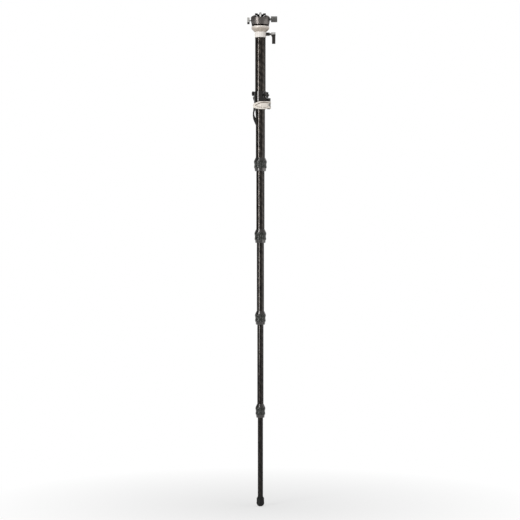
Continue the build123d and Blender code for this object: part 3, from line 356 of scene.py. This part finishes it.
def threaded(name, axis_x, axis_y, pitch, low, high):
    """Steel with a helical thread round an upright axis, between two levels, and painted shade in
    the thread's groove.
    """
    made, tree, shader = new_material(name, Metallic=0.4, Roughness=0.4)
    place = object_place(tree)
    x, y, z = split_axes(tree, place)
    turn = calc(tree, "ARCTAN2", calc(tree, "SUBTRACT", x, axis_x),
                calc(tree, "SUBTRACT", y, axis_y))
    rise = calc(tree, "PINGPONG", calc(tree, "ADD", calc(tree, "DIVIDE", z, pitch),
                                       calc(tree, "DIVIDE", turn, 2 * pi)), 0.5)
    inside = calc(tree, "MULTIPLY", calc(tree, "GREATER_THAN", z, low),
                  calc(tree, "LESS_THAN", z, high))
    height = calc(tree, "MULTIPLY", rise, inside)
    groove_shade = calc(tree, "MULTIPLY", inside, remap(tree, rise, 0.0, 0.25, 0.6, 0.0))
    mottle = noise_at(tree, place, 320.0, 4.0)
    tint = blend_colours(tree, mottle, rgb((184, 183, 180)), rgb((216, 215, 212)))
    # Painted shade in the groove of the thread
    tint = blend_colours(tree, groove_shade, tint, rgb((140, 138, 135)))
    tree.links.new(tint, shader.inputs["Base Color"])
    tree.links.new(bump_of(tree, height, 1.0, pitch * 0.6), shader.inputs["Normal"])
    return made


# One entry for each finish: the record's material slots, then those of single pieces
lacquered = dict(Specular_IOR_Level=0.2, Specular_Tint=(0.1, 0.1, 0.1, 1.0), Coat_Weight=1.0)
anodised = dict(Specular_IOR_Level=0.2, Specular_Tint=(0.15, 0.15, 0.15, 1.0))
finishes = {
    "nylon": dict(colour=(188, 188, 180), rough=0.5, grain=500, bump=0.00001),
    "turned_aluminium": dict(colour=(168, 168, 168), rough=0.32, metallic=0.9, turned=0.0004,
                             bump=0.00001, wear=(220, 220, 220)),
    "gloss_collar": dict(colour=(58, 55, 52), rough=0.16, metallic=0.8, turned=0.0005,
                         bump=0.000006, wear=(120, 116, 110), Coat_IOR=1.85,
                         Coat_Roughness=0.15, **lacquered),
    "grip_rubber": dict(colour=(38, 41, 35), rough=0.34, grain=1400, bump=0.00003,
                        wear=(52, 54, 48), Specular_IOR_Level=0.5, Coat_Weight=0.4,
                        Coat_Roughness=0.3),
    "foot_rubber": dict(colour=(27, 27, 27), rough=0.5, bump=0.00005, wear=(66, 64, 60),
                        Specular_IOR_Level=0.25),
    "black_casting": dict(colour=(44, 40, 37), rough=0.24, metallic=0.7, grain=1500,
                          bump=0.00001, wear=(96, 92, 86), Coat_IOR=1.6, Coat_Roughness=0.12,
                          **lacquered),
    # The lever carries painted shade: lines round its leaf's recess and at its barrel seam, and
    # strong shade in its crevices
    "bright_lever": dict(colour=(236, 229, 219), rough=0.6, grain=1300, bump=0.00001,
                         wear=(246, 243, 236), spread=0.06, crevice=0.95,
                         marks=(lever_lines, (112, 98, 86)), Specular_IOR_Level=0.2),
    "steel": dict(colour=(150, 150, 148), rough=0.34, metallic=0.7, turned=0.0003,
                  bump=0.000006, wear=(215, 215, 212)),
    "black_steel": dict(colour=(72, 70, 68), rough=0.26, metallic=0.9, turned=0.0003,
                        bump=0.000008, wear=(110, 108, 104), Specular_IOR_Level=0.2),
    "neck_silver": dict(colour=(242, 236, 230), rough=0.55, turned=0.0004, bump=0.000008,
                        wear=(250, 250, 248), spread=0.04, Specular_IOR_Level=0.25),
    # The bowl's colour lightens towards its rim as a painted highlight
    "bowl_silver": dict(colour=(192, 181, 169), rough=0.58, metallic=0.4, turned=0.0005,
                        bump=0.00001, wear=(226, 220, 210), spread=0.06,
                        rim=(bowl_top - 0.0005, 0.0075, (244, 236, 228)),
                        Specular_IOR_Level=0.3),
    "black_anodised": dict(colour=(118, 113, 110), rough=0.34, metallic=0.85, grain=1800,
                           bump=0.000003, wear=(120, 116, 110), spread=0.1, **anodised),
    "hub_silver": dict(colour=(176, 175, 172), rough=0.45, metallic=0.25, turned=0.0004,
                       bump=0.000008, wear=(232, 230, 226)),
    "black_plastic": dict(colour=(50, 48, 46), rough=0.42, grain=1100, bump=0.00004,
                          wear=(70, 68, 66), Specular_IOR_Level=0.25),
    "knob_grey": dict(colour=(104, 103, 101), rough=0.36, metallic=0.5, turned=0.0006,
                      bump=0.00001, wear=(160, 158, 154), Specular_IOR_Level=0.3),
    "pad_rubber": dict(colour=(26, 26, 25), rough=0.7, grain=1200, bump=0.00006,
                       Specular_IOR_Level=0.25),
    # The notch in the plate is painted near black as its shadow
    "plate_black": dict(colour=(74, 71, 69), rough=0.36, metallic=0.7, grain=1800,
                        bump=0.00001, wear=(120, 116, 110), marks=(inside_notch, (8, 8, 8)),
                        Specular_IOR_Level=0.2),
    "ball_black": dict(colour=(22, 18, 17), rough=0.4, metallic=0.5, turned=0.0004,
                       bump=0.000005, wear=(60, 56, 54), **anodised),
    "mark_paint": dict(colour=(168, 165, 160), rough=0.5, grain=1500, bump=0.00001),
    "polished_edge": dict(colour=(232, 231, 228), rough=0.3, metallic=0.3, turned=0.0004,
                          bump=0.000005, wear=(245, 245, 243), spread=0.05),
}
looks = {name: finish(name, **values) for name, values in finishes.items()}
looks["webbing"] = webbing()

camera_thread_pitch = 0.00127
thread_end = 0.0003             # plain length above the plate and below the screw's tip
looks["camera_thread"] = threaded(
    "camera_thread", (screw_low.x + screw_high.x) / 2, (screw_low.y + screw_high.y) / 2,
    camera_thread_pitch, plate_high.z + thread_end, screw_high.z - thread_end)


def dress(thing, look):
    thing.data.materials.clear()
    thing.data.materials.append(look)


# The half ball is dressed near black as painted shade for the narrow gap between the bowl and the
# pan base, where it shows
own_looks = {"camera_plate": "plate_black", "half_ball": "ball_black",
             "camera_screw": "camera_thread"}
slot_of = {part["node"]: part["material_slot"] for part in frame["record"]["subparts"]}
for name, thing in nodes.items():
    if slot_of[name] == "carbon_tube":
        low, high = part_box(name)
        dress(thing, carbon((high.x - low.x) / 2))
    else:
        dress(thing, looks[own_looks.get(name, slot_of[name])])


# Helpers for pieces
def piece(name, mesh, body, look, smooth=True):
    """Turns a bmesh into a finished piece that moves with a body."""
    data = bpy.data.meshes.new(name)
    bmesh.ops.recalc_face_normals(mesh, faces=mesh.faces)
    mesh.to_mesh(data)
    mesh.free()
    made = bpy.data.objects.new(name, data)
    bpy.context.scene.collection.objects.link(made)
    for face in data.polygons:
        face.use_smooth = smooth
    dress(made, looks[look])
    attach(made, body)
    return made


def at_angle(radius, angle, height=0.0):
    return Vector((radius * cos(radians(angle)), radius * sin(radians(angle)), height))


# Wrist strap: woven webbing with thick rounded edges. It follows the source's route, with its
# two legs moved by up to 3 mm, so that it shows as thin as in the photograph. Each point has its
# distance from the column's axis, its angle and its height over strap_top.
strap_path = [
    (27.9, 140.0, -6.5), (28.3, 141.5, -1.5), (28.0, 142.0, 3.0), (26.2, 142.0, 5.2),
    (23.9, 142.0, 5.2), (22.0, 142.0, 2.4), (21.5, 141.5, -5.0), (21.6, 137.5, -14.0),
    (21.9, 132.0, -24.0), (22.3, 133.5, -35.0), (22.8, 142.0, -46.0), (23.6, 148.0, -55.0),
    (24.3, 148.5, -63.0), (24.9, 143.5, -70.0), (26.3, 131.0, -77.5), (27.8, 118.0, -85.0),
    (29.2, 107.5, -94.0), (28.9, 101.0, -107.0), (27.2, 98.0, -121.0), (25.6, 95.5, -137.0),
    (25.8, 93.0, -153.0), (28.8, 91.4, -165.0), (32.4, 90.8, -169.0), (35.8, 90.8, -164.5),
    (37.3, 92.0, -151.0), (37.5, 95.0, -132.0), (36.9, 98.0, -110.0), (35.8, 101.0, -90.0),
    (34.4, 104.0, -70.0), (32.7, 107.5, -51.0), (30.6, 112.5, -34.0), (28.3, 121.0, -21.0),
    (26.2, 132.5, -12.5), (25.2, 139.0, -9.0),
]
strap_top = flip_lock_top - 0.004
strap_width = 0.012
strap_thick = 0.0016
strap_steps = 9                 # cross-sections between two points of the route
strap_turn = -15.0              # of the webbing about its length, where it goes down beside the lock
strap_turn_levels = (-38.0, -52.0, -80.0, -100.0)   # it starts, is full, eases off and has ended

# A quarter of the outline of the webbing's cross-section, as shares of its width and thickness
strap_rim_shares = [(0.5, 0.0), (0.485, 0.36), (0.45, 0.5), (0.40, 0.42), (0.25, 0.46), (0.0, 0.47)]

stitch_columns = 5
stitch_gap = 0.0019
stitch_halves = (0.0003, 0.00014, 0.00078)      # along, through and across the webbing
stitch_seat = 0.49                              # of its thickness, from its middle outward
stitched_rows = slice(1, 14, 2)                 # every second cross-section of the short end


def smooth_route(points, steps):
    """Catmull-Rom curve through the points, evenly stepped in each span."""
    ends = [points[0] * 2 - points[1]] + points + [points[-1] * 2 - points[-2]]
    route = []
    for i in range(1, len(ends) - 2):
        a, b, c, d = ends[i - 1:i + 3]
        for step in range(steps):
            t = step / steps
            route.append((b * 2 + (c - a) * t + (a * 2 - b * 5 + c * 4 - d) * t * t
                          + (b * 3 - a - c * 3 + d) * t ** 3) / 2)
    return route + [points[-1]]


def strap_frames():
    """Places along the strap, each with its directions along, across and through the webbing."""
    route = smooth_route([at_angle(radius * MM, angle, strap_top + height * MM)
                          for radius, angle, height in strap_path], strap_steps)
    frames = []
    for i, place in enumerate(route):
        along = (route[min(i + 1, len(route) - 1)] - route[max(i - 1, 0)]).normalized()
        across = Vector((-place.y, place.x, 0)).normalized()
        across = (across - along * across.dot(along)).normalized()
        if along.z < 0:
            start, full, full_end, end = strap_turn_levels
            level = (place.z - strap_top) / MM
            share = min((start - level) / (start - full), (level - end) / (full_end - end), 1)
            across = Matrix.Rotation(radians(strap_turn) * max(share, 0), 3, along) @ across
        frames.append((place, along, across, along.cross(across)))
    return frames


def make_strap():
    """The webbing, with the length along it and the place across it as its map."""
    rim = strap_rim_shares + [(-x, y) for x, y in reversed(strap_rim_shares[:-1])]
    rim += [(x, -y) for x, y in reversed(rim[1:-1])]
    mesh = bmesh.new()
    weave = mesh.loops.layers.uv.new("weave")
    rows = []
    length = 0.0
    last = None
    for place, along, across, through in strap_frames():
        if last:
            length += (place - last).length
        last = place
        rows.append((length, [mesh.verts.new(place + across * (x * strap_width)
                                             + through * (y * strap_thick)) for x, y in rim]))
    for (start, here), (end, there) in zip(rows, rows[1:]):
        for k in range(len(rim)):
            after = (k + 1) % len(rim)
            face = mesh.faces.new((here[k], here[after], there[after], there[k]))
            for loop, u, x in zip(face.loops, (start, start, end, end),
                                  (rim[k][0], rim[after][0], rim[after][0], rim[k][0])):
                loop[weave].uv = (u, x * strap_width)
    mesh.faces.new(rows[0][1])
    mesh.faces.new(list(reversed(rows[-1][1])))
    strap = piece("wrist_strap_webbing", mesh, "top_section", "webbing")
    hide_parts("wrist_strap")


def make_stitches():
    """Boxed stitching on the strap's short end, outside the bail."""
    mesh = bmesh.new()
    rows = strap_frames()[stitched_rows]
    full_rows = (0, len(rows) // 2, len(rows) - 1)
    middle = stitch_columns // 2
    for row, (place, along, across, through) in enumerate(rows):
        outward = through if through.dot(place) > 0 else -through
        for column in range(-middle, middle + 1):
            if row not in full_rows and abs(column) != middle:
                continue
            spot = place + across * (column * stitch_gap) + outward * (strap_thick * stitch_seat)
            lay = Matrix([(along[i], outward[i], across[i], spot[i]) for i in range(3)]
                         + [(0, 0, 0, 1)])
            bmesh.ops.create_uvsphere(mesh, u_segments=8, v_segments=6, radius=1,
                                      matrix=lay @ Matrix.Diagonal((*stitch_halves, 1)))
    piece("strap_stitches", mesh, "top_section", "webbing")


make_strap()
make_stitches()


# Degree scale on the cone of the pan base, with the cone's sizes from the source
cone_low_radius = 0.0263
cone_high_radius = 0.0281
cone_height = 0.010

tick_top = pan_base_foot + 0.0094
tick_long = 0.0022
tick_short = 0.0013
tick_half_width = 0.00014
tick_sunk = 0.0001
tick_proud = 0.00006
tick_step = 5                   # degrees
ticks_to_long = 3

digit_foot = pan_base_foot + 0.0042
digit_size = 0.0026
digit_proud = 0.000048          # and as much sunk in the cone
digit_step = 30                 # degrees


def cone_radius(level):
    return cone_low_radius + ((cone_high_radius - cone_low_radius)
                              * (level - pan_base_foot) / cone_height)


def make_scale():
    """Painted ticks round the cone, every third one long."""
    mesh = bmesh.new()
    for angle in range(0, 360, tick_step):
        low = tick_top - (tick_short if angle % (tick_step * ticks_to_long) else tick_long)
        side = at_angle(1, angle + 90)
        corners = [mesh.verts.new(at_angle(cone_radius(level) + proud, angle, level) + side * x)
                   for level in (low, tick_top)
                   for x in (-tick_half_width, tick_half_width)
                   for proud in (-tick_sunk, tick_proud)]
        for quad in ((0, 1, 3, 2), (4, 5, 7, 6), (0, 1, 5, 4), (2, 3, 7, 6), (0, 2, 6, 4),
                     (1, 3, 7, 5)):
            mesh.faces.new([corners[i] for i in quad])
    piece("degree_marks", mesh, "levelling_ball", "mark_paint", smooth=False)


def digits_mesh(value):
    """A number as a flat mesh, upright in x and y."""
    text = bpy.data.curves.new("digits", "FONT")
    text.body = str(value)
    text.size = digit_size
    text.align_x = "CENTER"
    text.extrude = digit_proud
    text.resolution_u = 3
    shown = bpy.data.objects.new("digits", text)
    bpy.context.scene.collection.objects.link(shown)
    bpy.context.view_layer.update()
    flat = shown.evaluated_get(bpy.context.evaluated_depsgraph_get()).to_mesh()
    made = bmesh.new()
    made.from_mesh(flat)
    shown.to_mesh_clear()
    bpy.data.objects.remove(shown)
    bpy.data.curves.remove(text)
    return made


def make_numbers():
    """Numbers under the scale, bent round the cone."""
    mesh = bmesh.new()
    for angle in range(0, 360, digit_step):
        part = digits_mesh(angle)
        for vert in part.verts:
            x, y, z = vert.co
            level = digit_foot + y
            turn = angle - 90 + x / cone_radius(level) * 180 / pi
            vert.co = at_angle(cone_radius(level) + z, turn, level)
        joined = bpy.data.meshes.new("digits")
        part.to_mesh(joined)
        mesh.from_mesh(joined)
        part.free()
        bpy.data.meshes.remove(joined)
    piece("degree_numbers", mesh, "levelling_ball", "mark_paint", smooth=False)


make_scale()
make_numbers()


# Bright bevels and a locating pin at the plate's notch, and ribs on its rubber pads
bevel_low_width = 0.0016
bevel_high_width = 0.0019
bevel_proud = 0.0003
bevel_sunk = 0.00005

pin_inset = 0.0004              # of its axis from the plate's front
pin_outline = [                 # radius, and height over the plate's foot
    (0.0024, 0.0002), (0.0024, 0.0007), (0.0021, 0.0033), (0.0021, 0.0071),
    (0.0023, 0.0073), (0.0023, 0.0077), (0.0017, 0.0083), (0.0009, 0.00845),
]
pin_facets = 24

rib_rows = 22
rib_start = -0.0222
rib_pitch = 0.00211
rib_half = 0.00035
rib_flatness_share = 0.8
rib_sunk = 0.00005
rib_ends = (0.0089, 0.0156)     # distances from the plate's middle


def make_notch_bevels():
    """A bright three-sided strip along each flank of the notch."""
    mesh = bmesh.new()
    proud = Vector((0, -bevel_proud, 0))
    sunk = Vector((0, bevel_sunk, 0))
    for side in (-1, 1):
        low = Vector((side * notch_half, plate_low.y, plate_low.z))
        rise = Vector((side * (notch_flare_half - notch_half), 0, notch_flare_height))
        out = Vector((side * rise.z, 0, -abs(rise.x))).normalized()
        ends = [[mesh.verts.new(corner) for corner in (end + sunk, end + proud,
                                                       end + out * width + sunk)]
                for end, width in ((low, bevel_low_width), (low + rise, bevel_high_width))]
        for k in range(3):
            mesh.faces.new((ends[0][k], ends[0][k - 1], ends[1][k - 1], ends[1][k]))
        for end in ends:
            mesh.faces.new(end)
    piece("notch_bevels", mesh, "plate", "polished_edge", smooth=False)


def make_notch_pin():
    """Small bright locating pin that stands at the notch."""
    mesh = bmesh.new()
    axis = Vector((0, plate_low.y + pin_inset, plate_low.z))
    rings = [[mesh.verts.new(axis + at_angle(radius, k * 360 / pin_facets, height))
              for k in range(pin_facets)] for radius, height in pin_outline]
    for a, b in zip(rings, rings[1:]):
        for k in range(pin_facets):
            mesh.faces.new((a[k - 1], a[k], b[k], b[k - 1]))
    mesh.faces.new(rings[0])
    mesh.faces.new(rings[-1])
    piece("notch_pin", mesh, "plate", "polished_edge")


def make_pad_ribs():
    """Low half-round ribs across the rubber pads."""
    mesh = bmesh.new()
    for side in (-1, 1):
        for row in range(rib_rows):
            middle = Vector((0, rib_start + row * rib_pitch, pads_top - rib_sunk))
            ends = [[mesh.verts.new(middle + Vector((side * x, rib_half * cos(radians(t)),
                                                     rib_flatness_share * rib_half
                                                     * sin(radians(t)))))
                     for t in range(0, 181, 45)] for x in rib_ends]
            for a, b, c, d in zip(ends[0], ends[0][1:], ends[1][1:], ends[1]):
                mesh.faces.new((a, b, c, d))
            for end in ends:
                mesh.faces.new(end)
            mesh.faces.new((ends[0][0], ends[0][-1], ends[1][-1], ends[1][0]))
    piece("pad_ribs", mesh, "plate", "pad_rubber")


make_notch_bevels()
make_notch_pin()
make_pad_ribs()


# Studio: a pale floor, a white backdrop and soft lamps
floor_half = 25
floor_grey = 0.86
shadow_from = 0.05              # distances from the foot between which the floor turns white
shadow_to = 0.9
room_level = 0.38               # brightness of the room where nothing white stands
card_level = 0.28               # what is left of it in reflections of the dark card at the left
lamp_aim = Vector((0, 0, 0.78))


def backdrop(tree, back):
    """1 to the camera; to reflections 1 behind the column and less in the room before it."""
    seen = put(tree, "LightPath").outputs
    mirrored = calc(tree, "MAXIMUM", seen["Is Glossy Ray"], seen["Is Transmission Ray"])
    mirrored = calc(tree, "MULTIPLY", mirrored, remap(tree, back, -0.2, 0.6, 0.0, 1.0))
    return calc(tree, "MAXIMUM", seen["Is Camera Ray"], mirrored)


def make_floor():
    """Plain pale floor with the object's shadow; white to the camera away from the foot."""
    mesh = bmesh.new()
    bmesh.ops.create_grid(mesh, x_segments=1, y_segments=1, size=floor_half)
    data = bpy.data.meshes.new("floor")
    mesh.to_mesh(data)
    mesh.free()
    floor = bpy.data.objects.new("floor", data)
    bpy.context.scene.collection.objects.link(floor)
    made = bpy.data.materials.new("floor")
    made.use_nodes = True
    tree = made.node_tree
    tree.nodes.clear()
    place = object_place(tree)
    away = put(tree, "VectorMath", {0: place}, operation="LENGTH").outputs["Value"]
    white = calc(tree, "MULTIPLY", backdrop(tree, split_axes(tree, place)[1]),
                 remap(tree, away, shadow_from, shadow_to, 0.55, 1.0))
    plain = put(tree, "BsdfDiffuse", {"Color": (floor_grey, floor_grey, floor_grey, 1.0)})
    bright = put(tree, "Emission", {"Color": (1, 1, 1, 1), "Strength": 1.0})
    mixed = put(tree, "MixShader", {0: white, 1: plain.outputs[0], 2: bright.outputs[0]})
    put(tree, "OutputMaterial", {0: mixed.outputs[0]})
    floor.data.materials.append(made)


def make_world():
    """White to the camera; dimmer as light, and in reflections of the room's front and left."""
    world = bpy.data.worlds.new("studio")
    bpy.context.scene.world = world
    world.use_nodes = True
    tree = world.node_tree
    tree.nodes.clear()
    x, y, _ = split_axes(tree, put(tree, "TexCoord").outputs["Generated"])
    level = calc(tree, "MAXIMUM", backdrop(tree, y), room_level)
    glossy = put(tree, "LightPath").outputs["Is Glossy Ray"]
    card = choose(tree, glossy, 1.0, remap(tree, x, -0.8, -0.2, card_level, 1.0))
    sky = put(tree, "Background", {"Color": (1, 1, 1, 1),
                                   "Strength": calc(tree, "MULTIPLY", level, card)})
    put(tree, "OutputWorld", {0: sky.outputs[0]})


def lamp(name, place, size, power):
    """A soft box that faces the column; size is its width and height."""
    data = bpy.data.lights.new(name, "AREA")
    data.shape = "RECTANGLE"
    data.size, data.size_y = size
    data.energy = power
    made = bpy.data.objects.new(name, data)
    bpy.context.scene.collection.objects.link(made)
    made.location = place
    made.rotation_euler = (lamp_aim - place).to_track_quat("-Z", "Z").to_euler()


make_floor()
make_world()
lamp("strip_left", at_angle(8.0, -129.0, 0.75), (1.5, 4.4), 300)
lamp("panel_right", at_angle(2.4, -20.0, 0.9), (1.3, 2.4), 11)
lamp("high_left", Vector((-1.2, -1.5, 2.5)), (0.9, 0.9), 11)
lamp("top", Vector((0.3, -0.3, 3.4)), (1.4, 1.2), 14)
